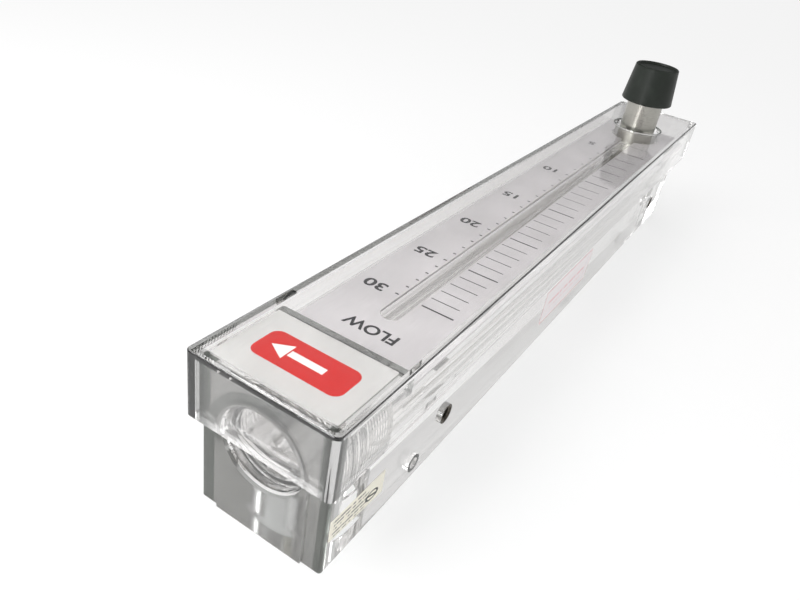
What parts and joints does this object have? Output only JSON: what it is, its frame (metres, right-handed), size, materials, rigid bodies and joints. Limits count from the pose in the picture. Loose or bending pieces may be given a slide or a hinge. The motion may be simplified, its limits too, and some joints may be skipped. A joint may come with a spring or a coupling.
{
  "type": "rotameter",
  "caption": "Clear panel-mount rotameter: float on a guide rod in a tapered bore, slotted metal scale, clear front cover and needle valve with a black knob.",
  "frame": {"origin": "centre of the flat back face, on the surface that the meter lies on", "axes": "+X across the meter, +Y along it from the outlet end towards the valve, +Z out of the front face"},
  "size_m": [0.051, 0.3842, 0.092],
  "materials": {
    "clear_body": "clear polycarbonate, polished",
    "clear_cover": "clear polycarbonate, polished",
    "clear_plug": "clear polycarbonate, machined",
    "scale_metal": "brushed, matt anodised",
    "badge_metal": "satin, printed",
    "steel": "turned stainless steel",
    "seal_rubber": "matt",
    "knob_plastic": "satin black",
    "stop_plastic": "white, machined",
    "seat_plastic": "white, machined",
    "insert_brass": "knurled",
    "small_paper": "matt printed",
    "long_paper": "matt printed",
    "screw_steel": "black oxide"
  },
  "bodies": {
    "meter": {"meter_body": "clear_body", "front_cover": "clear_cover", "scale_plate": "scale_metal", "badge_plate": "badge_metal", "end_plug": "clear_plug", "plug_seal": "seal_rubber", "barrel_seal": "seal_rubber", "guide_rod": "steel", "lower_stop": "stop_plastic", "valve_seat": "seat_plastic", "valve_barrel": "steel", "left_near_insert": "insert_brass", "right_near_insert": "insert_brass", "left_far_insert": "insert_brass", "right_far_insert": "insert_brass", "small_sticker": "small_paper", "long_sticker": "long_paper"},
    "float": {"float": "steel"},
    "stem_carrier": {"stem_seal": "seal_rubber"},
    "valve_handle": {"valve_stem": "steel", "knob": "knob_plastic", "knob_set_screw": "screw_steel"}
  },
  "joints": [
    {"name": "float_rise", "type": "slide", "parent": "meter", "child": "float", "axis": [0, -1, 0], "range_m": [0, 0.25]},
    {"name": "stem_lift", "type": "slide", "parent": "meter", "child": "stem_carrier", "axis": [0, 0, 1], "range_m": [-0.00317, 0.00317]},
    {"name": "knob_turn", "type": "hinge", "parent": "stem_carrier", "child": "valve_handle", "pos_m": [0, 0.143, 0.08], "axis": [0, 0, 1], "range_deg": [-1080, 1080]}
  ],
  "couplings": [
    {"joint": "knob_turn", "follows": "stem_lift", "rad_per_m": 5936.9}
  ]
}
